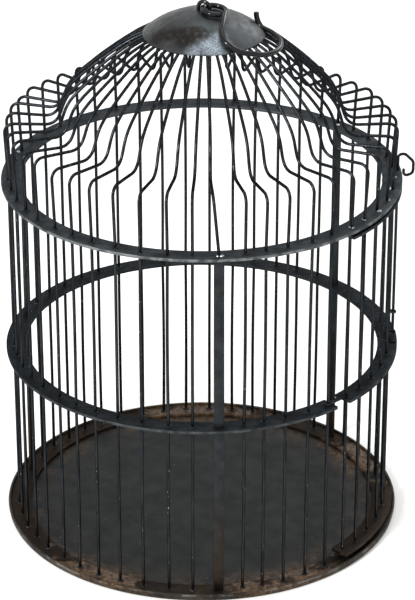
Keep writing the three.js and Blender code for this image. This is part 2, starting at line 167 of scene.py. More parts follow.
class CageSizes(bpy.types.PropertyGroup):
    """Stock sizes and bends of the cage."""

    wire: length("Wire diameter", "Round stock of the upright bars", 0.0032)
    shoulder_out: length("Shoulder lean", "How far a bar leans out above the upper hoop", 0.004)
    shoulder_rise: length("Shoulder rise", "Shoulder above the upper hoop", 0.0625)
    shoulder_sag: length("Shoulder sag", "The shoulders stand up to twice this lower on one side", 0.003)
    sag_turn: bpy.props.FloatProperty(
        name="Sag side", description="Side on which the shoulders are lowest, from the front",
        default=math.radians(120), subtype="ANGLE")
    shoulder_inset: length("Shoulder inset", "From the bar circle in to the foot of the dome", 0.046)
    shoulder_drop: length("Shoulder drop", "How far the shoulder falls towards the dome", 0.0025)
    shoulder_bend: length("Shoulder bend", "Bend radius at the shoulder", 0.009)
    dome_bend: length("Dome bend", "Bend radius at the foot of the dome", 0.014)
    dome_rise: length("Dome rise", "From the shoulder up to the cap's rim", 0.0878)
    dome_end: length("Bar end", "Radius at which the bars end under the cap", 0.045)
    strap_wide: length("Strap width", "Flat bar of the three uprights", 0.010)
    strap_thick: length("Strap thickness", "Flat bar of the three uprights", 0.003)
    edge: length("Softened edge", "Rounding along the edges of the flat bar", 0.00035)
    hand: length("Hand-set play", "How far a bar may stand from its drawn place", 0.0012)
    pin: length("Latch pin diameter", "Round stock of the latch pin", 0.003)
    staple: length("Staple diameter", "Rod of the staple in the cap", 0.004)
    hook: length("Hook diameter", "Rod of the hook", 0.0054)
    hook_ring: length("Hook ring radius", "Centre line of the hook's closed ring", 0.0113)


class CageColours(bpy.types.PropertyGroup):
    """Colours of the finishes."""

    wire: colour("Wire", "Blackened round wire", "#26292C")
    # Painted light: the upper hoop's bar colour is set lighter than the lower bar colour for the light
    # falling on it from above.
    bar: colour("Upper flat bar", "Blackened flat bar of the upper hoop, painted lighter for the light from above", "#474B4D")
    # Painted shade: the middle hoop, the door and its small parts get this darker copy of the bar colour, as
    # lying lower, in shade.
    shaded_low_bar: colour("Lower flat bar", "Blackened flat bar of the middle hoop and the door", "#2E3234")
    # Painted shade: the straps get a darker copy of the bar colour, as standing upright away from the light;
    # the base hoop reuses it under its rust.
    strap: colour("Straps", "Blackened flat bar of the three uprights", "#2E3133")
    bare: colour("Rubbed steel", "Bare steel where the black is rubbed off", "#A9AFB1")
    rust: colour("Rust", "Brown rust bloom", "#5C4936")
    sheet: colour("Pan sheet", "Dull dark sheet of the pan", "#1D1F1F")
    cap: colour("Cap", "Burnished sheet of the cap", "#414547")
    stain: colour("Cap stain", "Brown heat stain on the cap", "#1E1A17")
    silver: colour("Cap patch", "Bright rubbed patch on the cap", "#8E98A1")
    gloss: colour("Hook", "Gloss black rod", "#0A0C0E")
    floor: colour("Floor", "Pale studio floor", "#F4F4F2")


class CageStudio(bpy.types.PropertyGroup):
    """Camera and light."""

    elevation: bpy.props.FloatProperty(
        name="Elevation", description="Camera angle above the horizon", default=math.radians(26.66),
        subtype="ANGLE")
    distance: length("Camera distance", "From the camera to the middle of the cage", 2.9585)
    aim: length("Aim height", "Height that the camera looks at", 0.2049)
    lens: bpy.props.FloatProperty(
        name="Lens", description="Focal length in millimetres", default=173.4, min=1.0)
    world: bpy.props.FloatProperty(
        name="Surround", description="Brightness of the soft surround", default=1.0, min=0.0)
    key: bpy.props.FloatProperty(
        name="Key light", description="Power of the light at the front left", default=70.0, unit="POWER")
    top: bpy.props.FloatProperty(
        name="Top light", description="Power of the wide light overhead", default=14.0, unit="POWER")
    back: bpy.props.FloatProperty(
        name="Back light", description="Power of the light behind", default=14.0, unit="POWER")


# ---- mesh work --------------------------------------------------------------------------------------


def bent(corners, step=0.2):
    """A bent line through [point, bend radius] corners, each bend a round arc."""
    path = [corners[0][0]]
    for (before, _), (corner, bend), (after, _) in zip(corners, corners[1:], corners[2:]):
        if bend == 0:
            path.append(corner)
            continue
        back = (before - corner).normalized()
        ahead = (after - corner).normalized()
        turn = math.pi - back.angle(ahead)
        reach = bend * math.tan(turn / 2)
        pull = bend * 4 / 3 * math.tan(turn / 4)
        start = corner + back * reach
        end = corner + ahead * reach
        count = max(4, round(turn / step) + 2)
        path += interpolate_bezier(start, start - back * pull, end - ahead * pull, end, count)
    return path + [corners[-1][0]]


def flowing(points, per_span=6):
    """A smooth line through the points."""
    ends = [points[0] * 2 - points[1], *points, points[-1] * 2 - points[-2]]
    line = []
    for a, b, c, d in zip(ends, ends[1:], ends[2:], ends[3:]):
        line += interpolate_bezier(b, b + (c - a) / 6, c - (d - b) / 6, c, per_span + 1)[:-1]
    return line + [points[-1]]


def circle(radius, sides):
    """Corner offsets of a round section."""
    turns = [FULL_TURN * i / sides for i in range(sides)]
    return [(radius * math.cos(turn), radius * math.sin(turn)) for turn in turns]


def soft_oblong(wide, thick, edge, steps=3):
    """Corner offsets of a flat bar's section with its edges rounded over."""
    section = []
    for quarter, (a, b) in enumerate([(1, 1), (-1, 1), (-1, -1), (1, -1)]):
        for i in range(steps + 1):
            turn = math.pi / 2 * (quarter + i / steps)
            section.append((a * (wide / 2 - edge) + edge * math.cos(turn),
                            b * (thick / 2 - edge) + edge * math.sin(turn)))
    return section


def rod(path, section, side=Vector((0, 0, 1)), soft=0.0005, end_share=0.72):
    """Points and faces of a section carried along a path, its two ends closed and softened."""
    last = len(path) - 1
    tangents = [(path[min(i + 1, last)] - path[max(i - 1, 0)]).normalized() for i in range(last + 1)]
    first, final = tangents[0], tangents[-1]
    stations = [(path[0], first, end_share), (path[0] + first * soft, first, 1.0)]
    stations += [(point, tangent, 1.0) for point, tangent in zip(path[1:-1], tangents[1:-1])]
    stations += [(path[-1] - final * soft, final, 1.0), (path[-1], final, end_share)]
    across = side
    if abs(first.dot(side)) > 0.95:
        across = first.orthogonal()
    points = []
    for centre, tangent, share in stations:
        across = (across - tangent * across.dot(tangent)).normalized()
        up = tangent.cross(across)
        points += [centre + (across * a + up * b) * share for a, b in section]
    count = len(section)
    faces = [list(range(count))[::-1], [count * (len(stations) - 1) + i for i in range(count)]]
    for row in range(len(stations) - 1):
        for i in range(count):
            j = (i + 1) % count
            low, high = row * count, (row + 1) * count
            faces.append([low + i, low + j, high + j, high + i])
    return points, faces


def lathed(profile, segments):
    """Points and faces of a closed profile of (radius, height) turned round the upright axis."""
    points = []
    rows = []
    for radius, height in profile:
        if radius < 1e-9:
            rows.append([len(points)] * segments)
            points.append(Vector((0, 0, height)))
            continue
        rows.append(list(range(len(points), len(points) + segments)))
        points += [polar(radius, FULL_TURN * i / segments, height) for i in range(segments)]
    faces = []
    for low, high in zip(rows, rows[1:] + rows[:1]):
        for i in range(segments):
            j = (i + 1) % segments
            ring = list(dict.fromkeys([low[i], low[j], high[j], high[i]]))
            if len(ring) > 2:
                faces.append(ring)
    return points, faces


def lump(place, reach, height, rng, sides=9):
    """Points and faces of one small uneven bead of weld that sits on a flat face."""
    points = []
    for share, rise in ((1.0, -0.25), (1.0, 0.15), (0.78, 0.62), (0.42, 0.93)):
        for i in range(sides):
            turn = FULL_TURN * i / sides
            out = reach * share * rng.uniform(0.82, 1.15)
            level = height * rise * rng.uniform(0.85, 1.1)
            points.append(place + Vector((out * math.cos(turn), out * math.sin(turn), level)))
    points.append(place + Vector((0, 0, height)))
    faces = [list(range(sides))[::-1]]
    for row in range(3):
        for i in range(sides):
            j = (i + 1) % sides
            faces.append([row * sides + i, row * sides + j, (row + 1) * sides + j, (row + 1) * sides + i])
    top = 3 * sides
    faces += [[top + i, top + (i + 1) % sides, len(points) - 1] for i in range(sides)]
    return points, faces


def joined(parts):
    """Several sets of points and faces as one set."""
    points, faces = [], []
    for more_points, more_faces in parts:
        start = len(points)
        points += more_points
        faces += [[start + i for i in face] for face in more_faces]
    return points, faces


def mesh_of(name, part):
    """A mesh from points and faces, its faces turned outwards."""
    mesh = bpy.data.meshes.new(name)
    points, faces = part
    mesh.from_pydata([tuple(point) for point in points], [], faces)
    return tidied(mesh)


def tidied(mesh):
    """The mesh with doubled points merged and its faces turned outwards."""
    work = bmesh.new()
    work.from_mesh(mesh)
    bmesh.ops.remove_doubles(work, verts=work.verts, dist=1e-6)
    bmesh.ops.recalc_face_normals(work, faces=work.faces)
    work.to_mesh(mesh)
    work.free()
    return mesh


def plate(name, outlines, levels, edge):
    """A plate cut to closed outlines, the outside first and then its holes, with softened edges."""
    low, high = levels
    curve = bpy.data.curves.new(name, "CURVE")
    curve.dimensions = "2D"
    curve.fill_mode = "BOTH"
    curve.extrude = (high - low) / 2 - edge
    curve.bevel_depth = edge
    curve.bevel_resolution = 1
    curve.offset = -edge
    for outline in outlines:
        spline = curve.splines.new("POLY")
        spline.points.add(len(outline) - 1)
        for point, (x, y) in zip(spline.points, outline):
            point.co = (x, y, 0, 1)
        spline.use_cyclic_u = True
    holder = bpy.data.objects.new(name, curve)
    bpy.context.scene.collection.objects.link(holder)
    shape = holder.evaluated_get(bpy.context.evaluated_depsgraph_get())
    mesh = bpy.data.meshes.new_from_object(shape)
    bpy.data.objects.remove(holder)
    bpy.data.curves.remove(curve)
    mesh.transform(Matrix.Translation((0, 0, (low + high) / 2)))
    return tidied(mesh)


def arc(radius, start, end, step=0.03):
    """Points in plan along a circle round the cage's axis."""
    count = max(2, math.ceil(abs(end - start) / step))
    turns = [start + (end - start) * i / count for i in range(count + 1)]
    return [(radius * math.sin(turn), -radius * math.cos(turn)) for turn in turns]


def band_outline(start, end, inner=HOOP_IN, outer=HOOP_OUT, nip=0.0008):
    """Outline of a flat band between two angles, its four corners nipped off."""
    at_outer, at_inner = nip / outer, nip / inner
    return [
        *arc(outer, start + at_outer, end - at_outer),
        *arc(outer - nip, end, end),
        *arc(inner + nip, end, end),
        *arc(inner, end - at_inner, start + at_inner),
        *arc(inner + nip, start, start),
        *arc(outer - nip, start, start),
    ]


def round_hole(place, radius, sides=14):
    """Outline of a round hole, turned the other way from an outside."""
    turns = [-FULL_TURN * i / sides for i in range(sides)]
    return [(place.x + radius * math.cos(turn), place.y + radius * math.sin(turn)) for turn in turns]


def oblong_hole(place, across, along, turn, nip):
    """Outline of a four-sided hole with nipped corners, turned with the hoop."""
    corners = [(1, 1), (1, -1), (-1, -1), (-1, 1)]
    out = Vector((math.sin(turn), -math.cos(turn)))
    way = Vector((math.cos(turn), math.sin(turn)))
    outline = []
    for a, b in corners:
        corner = Vector((place.x, place.y)) + out * a * across / 2 + way * b * along / 2
        first, second = way * -b * nip, out * -a * nip
        if a * b < 0:
            first, second = second, first
        outline += [tuple(corner + second), tuple(corner + first)]
    return outline


def unevened(mesh, amount, size):
    """The mesh with a slow unevenness, as metal bent and set by hand has."""
    for vertex in mesh.vertices:
        spot = vertex.co / size
        shifted = [spot + Vector((shift, shift, shift)) for shift in (0.0, 9.3, 17.7)]
        vertex.co += Vector([noise.noise(place) for place in shifted]) * amount
    return mesh


def place_piece(name, mesh, material, body, nodes=(), sharp=math.radians(38)):
    """One visible piece: its mesh and finish, the body that it rides on and the nodes it stands for."""
    piece = bpy.data.objects.new(name, mesh)
    bpy.context.scene.collection.objects.link(piece)
    mesh.materials.clear()
    mesh.materials.append(material)
    mesh.shade_smooth()
    mesh.set_sharp_from_angle(angle=sharp)
    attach(piece, body)
    if nodes:
        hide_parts(*nodes)
    return piece


# ---- bars -------------------------------------------------------------------------------------------


class Bar:
    """One upright bar of the cage: where it stands and how its bends came out."""

    def __init__(self, name, sizes, rng, true=False, lean=0.0):
        play = 0.0 if true else sizes.hand
        at = foot_of(name)
        self.name = name
        self.turn = azimuth(at) + rng.uniform(-play, play) / BAR_CIRCLE
        self.start = at.z - 0.0002
        self.foot = BAR_CIRCLE + (0.0 if true else rng.uniform(-1.5, 0.3) * play)
        self.high = BAR_CIRCLE + (0.0 if true else rng.uniform(0.3, 1.5) * play)
        self.shoulder_turn = self.turn + lean
        self.out = sizes.shoulder_out + rng.uniform(-0.8, 0.8) * sizes.hand
        self.sag = sizes.shoulder_sag * (1 + math.cos(self.turn - sizes.sag_turn))
        self.rise = sizes.shoulder_rise - self.sag + rng.uniform(-1.5, 1.5) * sizes.hand
        self.inset = sizes.shoulder_inset + rng.uniform(-1.2, 1.2) * sizes.hand

    def at_level(self, level):
        """Centre of the bar at one level below the upper hoop."""
        share = (level - BASE_TOP) / (UPPER_LEVELS[1] - BASE_TOP)
        return polar(self.foot + (self.high - self.foot) * share, self.turn, level)


def full_bars(sizes):
    """The bars that run from the base hoop to the cap. The two beside the door stand true."""
    rng = random.Random(7)
    beside_door = ("cage_wire_05", "cage_wire_06")
    return [Bar(name, sizes, rng, true=name in beside_door) for name in WIRES]


# The dome's line from the foot of the dome to the cap's rim: shares of the way in and of the way up.
DOME_LINE = ((0.20, 0.40), (0.70, 0.82), (1.0, 1.0))
# The bars pass this far under the cap's rim, and end this far above that, inside the cap.
UNDER_RIM = 0.0029
END_RISE = 0.004


def dome_path(bar, sizes, foot):
    """Centre line of a bar from its foot, in over the shoulder, up the dome and in under the cap."""
    top = UPPER_LEVELS[1]
    turn = bar.shoulder_turn
    shoulder = top + bar.rise
    inner = BAR_CIRCLE - bar.inset
    low = shoulder - sizes.shoulder_drop
    rim = top + sizes.shoulder_rise + sizes.dome_rise - UNDER_RIM

    def above(radius, level):
        aside = CAP_ASIDE * max(0.0, (level - shoulder) / (rim - shoulder))
        return polar(radius, turn, level) + Vector((aside, 0, 0))

    dome = [above(inner + (CAP_OUT - inner) * share, low + (rim - low) * rise) for share, rise in DOME_LINE]
    end = above(sizes.dome_end, rim + END_RISE)
    path = bent([
        (foot, 0),
        (polar(bar.high, bar.turn, top + 0.002), 0),
        (polar(BAR_CIRCLE + bar.out, turn, shoulder), sizes.shoulder_bend),
        (above(inner, low), sizes.dome_bend),
        (dome[0], 0),
    ])
    return path[:-1] + flowing([path[-2], *dome, end], 7)[1:]


def full_path(bar, sizes):
    """Centre line of a full bar, with a slight bow between the hoops."""
    bow = math.sin(bar.turn * 7.0) * sizes.hand * 0.5
    levels = [bar.start + (UPPER_LEVELS[0] - bar.start) * i / 12 for i in range(12)]
    path = []
    for level in levels:
        low, high = (bar.start, MID_LEVELS[0]) if level < MID_LEVELS[0] else (MID_LEVELS[0], UPPER_LEVELS[0])
        drift = math.sin(math.pi * (level - low) / (high - low)) * bow
        path.append(bar.at_level(level) + polar(drift, bar.turn + math.pi / 2, 0))
    return path + dome_path(bar, sizes, bar.at_level(UPPER_LEVELS[0]))


# ---- finishes ---------------------------------------------------------------------------------------


class Finish:
    """One material in the making: its nodes, its shader and the coordinates of the metal itself."""

    def __init__(self, name, **constants):
        self.material = bpy.data.materials.new(name)
        self.material.use_nodes = True
        self.tree = self.material.node_tree
        self.tree.nodes.clear()
        self.shader = self.add("BsdfPrincipled", constants)
        self.add("OutputMaterial", {"Surface": self.shader.outputs[0]})
        self.coords = self.add("TexCoord").outputs["Object"]

    def add(self, kind, inputs=None, **settings):
        """Adds one node. inputs maps a socket's name or number to a value or to another node's output."""
        node = self.tree.nodes.new("ShaderNode" + kind)
        for name, value in settings.items():
            setattr(node, name, value)
        for name, value in (inputs or {}).items():
            if isinstance(value, bpy.types.NodeSocket):
                self.tree.links.new(value, node.inputs[name])
            else:
                node.inputs[name].default_value = value
        return node

    def cloud(self, size, detail=3.0, stretch=(1, 1, 1)):
        """A cloudy pattern with blotches about size metres across, drawn out along an axis by stretch."""
        scale = [1 / (size * share) for share in stretch]
        place = self.add("Mapping", {"Vector": self.coords, "Scale": scale}).outputs[0]
        return self.add("TexNoise", {"Vector": place, "Scale": 1.0, "Detail": detail}).outputs[0]

    def mask(self, value, low, high, *others, to=(0.0, 1.0)):
        """Takes value from low to high smoothly on to another range, times any other masks."""
        inputs = {"Value": value, "From Min": low, "From Max": high, "To Min": to[0], "To Max": to[1]}
        result = self.add("MapRange", inputs, interpolation_type="SMOOTHSTEP").outputs[0]
        for other in others:
            result = self.add("Math", {0: result, 1: other}, operation="MULTIPLY").outputs[0]
        return result

    def patches(self, size, low, high, detail=3.0, stretch=(1, 1, 1), to=(0.0, 1.0)):
        """A mask of cloudy patches: none where the cloud is under low, and whole where it is over high."""
        return self.mask(self.cloud(size, detail, stretch), low, high, to=to)

    def upward(self, start, end, *others):
        """A mask that grows from one level to another, times any other masks."""
        height = self.add("SeparateXYZ", {0: self.coords}).outputs["Z"]
        return self.mask(height, start, end, *others)

    def outward(self, start, end, *others):
        """A mask that grows from one distance from the cage's axis to another, times any other masks."""
        flat = self.add("VectorMath", {0: self.coords, 1: (1, 1, 0)}, operation="MULTIPLY").outputs[0]
        out = self.add("VectorMath", {0: flat}, operation="LENGTH").outputs["Value"]
        return self.mask(out, start, end, *others)

    def around(self, spots, far, near, ragged=None):
        """A mask round some places with their reaches: it starts at far reaches off and is whole at near.
        A ragged pattern breaks up its edge."""
        result = None
        for place, reach in spots:
            away = self.add("VectorMath", {0: self.coords, 1: place}, operation="DISTANCE").outputs["Value"]
            if ragged is not None:
                inputs = {0: ragged, 1: reach * 0.9, 2: away}
                away = self.add("Math", inputs, operation="MULTIPLY_ADD").outputs[0]
            spot = self.mask(away, reach * far, reach * near)
            if result is not None:
                spot = self.add("Math", {0: result, 1: spot}, operation="MAXIMUM").outputs[0]
            result = spot
        return result

    def laid(self, below, above, share, *others):
        """One colour laid over another, as far as all the masks let it show."""
        for other in others:
            share = self.add("Math", {0: share, 1: other}, operation="MULTIPLY").outputs[0]
        inputs = {0: share}
        for socket, tone in ((6, below), (7, above)):
            inputs[socket] = tone if isinstance(tone, bpy.types.NodeSocket) else (*tone[:3], 1.0)
        return self.add("Mix", inputs, data_type="RGBA").outputs[2]

    def relief(self, size, detail, depth):
        """A fine cloudy relief."""
        inputs = {"Height": self.cloud(size, detail), "Strength": 0.6, "Distance": depth}
        return self.add("Bump", inputs).outputs[0]

    def dressed(self, tone, rough=None, relief=None, metal=None):
        """The material, with its patterns led to the shader."""
        patterns = {"Base Color": tone, "Roughness": rough, "Normal": relief, "Metallic": metal}
        for socket, pattern in patterns.items():
            if pattern is not None:
                self.tree.links.new(pattern, self.shader.inputs[socket])
        return self.material


# Oiled black oxide mirrors little, and the reflection seen along the surface is tinted darker still: painted
# shade on the edges of wires and bars, standing in for dark surroundings at the sides.
PAINTED_DARK_EDGE_TINT = (0.30, 0.30, 0.32, 1.0)


def blackened_wire(colours):
    """Drawn steel wire, blackened and oiled: near black with a narrow soft gleam down each bar, faint
    streaks along it, a few rubbed specks and a brown bloom at its foot. The streaks are drawn 2 mm wide,
    coarser than real drawing marks, so that they show."""
    # The dark edge tint paints shade into the wire's grazing reflection.
    wire = Finish("blackened_wire", **{"Metallic": 0.9, "Specular Tint": PAINTED_DARK_EDGE_TINT})
    base = Vector(colours.wire)
    streaks = wire.patches(0.0022, 0.35, 0.68, 4.0, (1, 1, 14))
    tone = wire.laid(base * 0.62, base * 1.35, streaks)
    tone = wire.laid(tone, colours.bare, wire.patches(0.0016, 0.70, 0.76, 2.0, (1, 1, 2.5)), 0.55)
    foot = wire.upward(0.045, 0.008, wire.patches(0.011, 0.42, 0.60, 5.0))
    tone = wire.laid(tone, Vector(colours.rust) * 0.5, foot, 0.75)
    rough = wire.patches(0.005, 0.3, 0.7, 3.0, (1, 1, 5), to=(0.22, 0.38))
    return wire.dressed(tone, rough, wire.relief(0.0009, 3.0, 0.00006))


# Where the rust blooms most: front right, front left, right back and back, each a place and its reach.
RUST_PLACES = (
    ((0.080, -0.175, 0.004), 0.085), ((-0.110, -0.165, 0.004), 0.070),
    ((0.170, 0.085, 0.004), 0.070), ((-0.010, 0.190, 0.004), 0.110),
)


def rust_bloom(metal, amount):
    """Where rust has bloomed: patchy, and thickest in a few places round the base."""
    thick = metal.around(RUST_PLACES, 1.0, 0.35)
    inputs = {0: thick, 1: 0.30, 2: metal.cloud(0.018, 7.0)}
    lifted = metal.add("Math", inputs, operation="MULTIPLY_ADD").outputs[0]
    return metal.mask(lifted, 0.60, 0.80, amount)


def rust_tone(metal, colours):
    """Brown rust, from nearly black to tan."""
    rust = Vector(colours.rust)
    return metal.laid(rust * 0.35, rust * 1.2, metal.patches(0.004, 0.35, 0.68, 6.0))


# tint is the copy's painted-light or painted-shade colour; worn is how strongly the outer edge is painted
# light, as rubbed steel and as a painted highlight line.
def blackened_bar(colours, name, tint, worn, rust=0.0):
    """Hot-rolled flat bar, blackened: a cloudy grey-black face with fine grain, the outer edge painted a
    little lighter as rubbed steel and as a painted highlight line, and brown blooms where rust has started.
    Each copy's tint is painted light or painted shade: lighter for the upper hoop, darker lower down and on
    the straps."""
    # The dark edge tint paints shade into the bar's grazing reflection.
    bar = Finish(name, **{"Metallic": 0.85, "Specular Tint": PAINTED_DARK_EDGE_TINT})
    base = Vector(tint)
    face = bar.cloud(0.016, 5.0)
    tone = bar.laid(base * 0.66, base * 1.25, bar.mask(face, 0.30, 0.70))
    tone = bar.laid(tone, base * 0.40, bar.patches(0.0011, 0.35, 0.70, 4.0), 0.35)
    # Outer edge painted lighter: partly rubbed steel, partly a painted highlight line, strongest on the lit
    # upper hoop.
    rubbed = bar.outward(HOOP_OUT - 0.0005, HOOP_OUT - 0.0001, bar.patches(0.009, 0.38, 0.62, 4.0))
    tone = bar.laid(tone, colours.bare, rubbed, worn)
    tone = bar.laid(tone, colours.bare, bar.patches(0.0021, 0.735, 0.775, 2.0), 0.5)
    metal = None
    if rust:
        foot = bar.upward(0.15, 0.0, bar.mask(face, 0.25, 0.55, to=(0.35, 0.75)))
        tone = bar.laid(tone, Vector(colours.rust) * 0.30, foot)
        bloom = rust_bloom(bar, rust)
        tone = bar.laid(tone, rust_tone(bar, colours), bloom)
        metal = bar.mask(bloom, 0.0, 1.0, to=(0.85, 0.2))
    rough = bar.patches(0.006, 0.3, 0.7, 4.0, to=(0.38, 0.56))
    return bar.dressed(tone, rough, bar.relief(0.0014, 5.0, 0.00010), metal)


def pan_sheet(colours):
    """Cold-rolled sheet, blackened and handled: a dull, slightly cloudy floor that browns towards its rim,
    with pale dust specks and a rolled edge that is rubbed bright in places."""
    sheet = Finish("dull_pan_sheet", Metallic=0.75)
    base = Vector(colours.sheet)
    tone = sheet.laid(base * 0.85, base * 1.18, sheet.patches(0.06, 0.3, 0.7, 5.0))
    tone = sheet.laid(tone, base * 0.55, sheet.patches(0.0016, 0.35, 0.7, 5.0), 0.3)
    brown = sheet.outward(0.135, 0.190, sheet.patches(0.03, 0.38, 0.62, 6.0))
    tone = sheet.laid(tone, rust_tone(sheet, colours), brown, 0.40)
    rusted = sheet.outward(0.150, 0.180, rust_bloom(sheet, 0.7))
    tone = sheet.laid(tone, rust_tone(sheet, colours), rusted)
    tone = sheet.laid(tone, colours.bare, sheet.patches(0.0022, 0.785, 0.80, 1.0), 0.6)
    rubbed = sheet.outward(0.2022, 0.2030, sheet.patches(0.014, 0.5, 0.62, 5.0))
    tone = sheet.laid(tone, colours.bare, rubbed, 0.2)
    rough = sheet.patches(0.02, 0.3, 0.7, 5.0, to=(0.50, 0.66))
    return sheet.dressed(tone, rough, sheet.relief(0.002, 5.0, 0.00012))


# Scorched stains, brown bloom and rubbed patches on the cap, each a place in plan and its reach.
CAP_STAINS = (
    ((-0.0145, -0.044), 0.0155), ((-0.020, -0.036), 0.013), ((-0.030, -0.032), 0.013),
    ((-0.041, -0.027), 0.015), ((0.001, -0.040), 0.011), ((-0.006, -0.036), 0.011),
)
CAP_BROWN = (((-0.024, -0.034), 0.034), ((-0.042, -0.020), 0.030))
CAP_PATCHES = (((0.010, -0.052), 0.019), ((0.017, -0.046), 0.014), ((-0.008, -0.056), 0.011))


def on_cap(x, y):
    """The place on the cap's outside over one place in plan."""
    radius, middle = cap_sphere()
    return Vector((x, y, middle + math.sqrt(radius ** 2 - (x - CAP_ASIDE) ** 2 - y ** 2)))


def burnished_cap(colours):
    """Spun sheet steel, burnished over its black: a satin grey dome with a scorched brown stain and a
    silvery patch rubbed bare along the front rim."""
    cap = Finish("burnished_cap", Metallic=0.9)
    base = Vector(colours.cap)
    tone = cap.laid(base * 0.75, base * 1.18, cap.patches(0.020, 0.3, 0.7, 5.0))
    tone = cap.laid(tone, base * 0.5, cap.patches(0.0013, 0.4, 0.7, 4.0), 0.3)
    ragged = cap.cloud(0.009, 8.0)
    for tint, places, grain, strength in (
        (colours.silver, CAP_PATCHES, cap.patches(0.0017, 0.34, 0.58, 5.0, to=(0.35, 1.0)), 0.8),
        (Vector(colours.stain) * 2.6, CAP_BROWN, cap.patches(0.008, 0.3, 0.6, 7.0), 0.6),
        (colours.stain, CAP_STAINS, cap.patches(0.005, 0.30, 0.52, 7.0, to=(0.35, 1.0)), 0.92),
    ):
        spots = [(on_cap(*place), reach) for place, reach in places]
        tone = cap.laid(tone, tint, cap.around(spots, 1.45, 0.75, ragged), grain, strength)
    rough = cap.patches(0.008, 0.3, 0.7, 4.0, to=(0.34, 0.50))
    return cap.dressed(tone, rough, cap.relief(0.0030, 5.0, 0.00018))


def gloss_black_rod(colours):
    """Steel rod dipped in gloss black enamel: sharp reflections over black, with faint runs in the coat."""
    coat = Finish("gloss_black_enamel", Metallic=0.0, IOR=1.36)
    base = Vector(colours.gloss)
    tone = coat.laid(base * 0.7, base * 1.6, coat.patches(0.006, 0.3, 0.7, 4.0))
    rough = coat.patches(0.004, 0.35, 0.7, 4.0, to=(0.06, 0.18))
    return coat.dressed(tone, rough, coat.relief(0.0035, 3.0, 0.00010))


def weld_metal(name, dark, light, smoothest):
    """Weld bead: scorched and scaled black, or where it is fresh a rippled silver."""
    bead = Finish(name, Metallic=0.9)
    tone = bead.laid(dark, light, bead.patches(0.0014, 0.35, 0.65, 4.0))
    rough = bead.patches(0.002, 0.3, 0.7, to=(smoothest, 0.6))
    return bead.dressed(tone, rough, bead.relief(0.0008, 3.0, 0.00012))


def scorched_weld(colours):
    """Old bead, scaled black."""
    tone = Vector(colours.wire)
    return weld_metal("scorched_weld", tone * 0.4, tone * 1.2, 0.42)


def fresh_weld(colours):
    """Fresh bead, still silver."""
    tone = Vector(colours.bare)
    return weld_metal("fresh_weld", tone * 0.5, tone * 1.3, 0.26)


def studio_floor(colours):
    """Matt painted board: pale, even, with the faintest cloud."""
    board = Finish("pale_matt_board", Roughness=0.9)
    base = Vector(colours.floor)
    return board.dressed(board.laid(base * 0.985, base, board.cloud(0.4)))


FINISHES = {
    "wire": blackened_wire,
    # Painted light: the upper hoop's copy is lighter, with the strongest painted edge highlight.
    "bar": lambda colours: blackened_bar(colours, "upper_bar_painted_light", colours.bar, 0.30),
    # Painted shade: a darker copy for the middle hoop, the door bands, the keeper and the eyes.
    "shaded_low_bar": lambda colours: blackened_bar(colours, "blackened_flat_bar", colours.shaded_low_bar, 0.08),
    # Painted shade: a darker copy for the upright straps.
    "strap": lambda colours: blackened_bar(colours, "strap_bar_painted_shade", colours.strap, 0.0, 0.3),
    # Real rust bloom over the straps' painted-shade tint, for the base hoop and the door's bottom band.
    "rusted_bar": lambda colours: blackened_bar(colours, "rust_bloom_bar_painted_shade", colours.strap, 0.12, 0.9),
    "sheet": pan_sheet,
    "cap": burnished_cap,
    "gloss": gloss_black_rod,
    "weld": scorched_weld,
    "bright_weld": fresh_weld,
    "floor": studio_floor,
}
MADE = {}


def finish(context, name):
    """The finish of that name, made the first time that it is asked for."""
    if name not in MADE:
        MADE[name] = FINISHES[name](context.scene.cage_colours)
    return MADE[name]


# ---- pieces -----------------------------------------------------------------------------------------


class CAGE_OT_base_pan(bpy.types.Operator):
    """Base pan: a round sheet floor with a low wall and a rolled edge"""

    bl_idname = "birdcage.base_pan"
    bl_label = "Base Pan"

    def execute(self, context):
        low, high = levels_of("base_pan")
        sheet = 0.0016
        bead = 0.00145
        corner = 0.0012
        wall_out = max(radius_of(point) for point in corners_of("base_pan")) - 0.00075
        wall_in = wall_out - sheet
        floor_top = low + sheet
        roll = (wall_out - 0.00065, high - bead)
        under = [(0, low), (wall_out - corner, low), (wall_out - corner / 3, low + corner / 3),
                 (wall_out, low + corner)]
        turns = [math.radians(-60 + 24 * i) for i in range(11)]
        rolled = [(roll[0] + bead * math.cos(turn), roll[1] + bead * math.sin(turn)) for turn in turns]
        inside = [(wall_in, high - 2 * bead), (wall_in, floor_top + 0.0009), (wall_in - 0.0009, floor_top)]
        rings = [(0.178 * (1 - i / 14), floor_top) for i in range(14)]
        mesh = mesh_of("base_pan", lathed(under + rolled + inside + rings + [(0, floor_top)], 180))
        flat, slope, swell = 0.17, 0.03, 0.0003
        for vertex in mesh.vertices:
            out = radius_of(vertex.co)
            if vertex.co.z > floor_top - 1e-5 and out < flat:
                share = min(1.0, (flat - out) / slope)
                vertex.co.z += swell * (1 + noise.noise(vertex.co / 0.055)) * share
        place_piece("base_pan_sheet", mesh, finish(context, "sheet"), "cage", ["base_pan"])
        return {"FINISHED"}


def pin_place():
    """Centre of the latch pin in plan."""
    return polar(PIN_CIRCLE, PIN_TURN, 0)


def strap_slots(sizes, nip=0.0004, room=0.0003):
    """Slots that the three straps pass through."""
    slots = []
    for strap in STRAPS:
        low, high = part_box(strap)
        place = (low + high) / 2
        across, along = sizes.strap_thick + 2 * room, sizes.strap_wide + 2 * room
        slots.append(oblong_hole(place, across, along, azimuth(place), nip))
    return slots


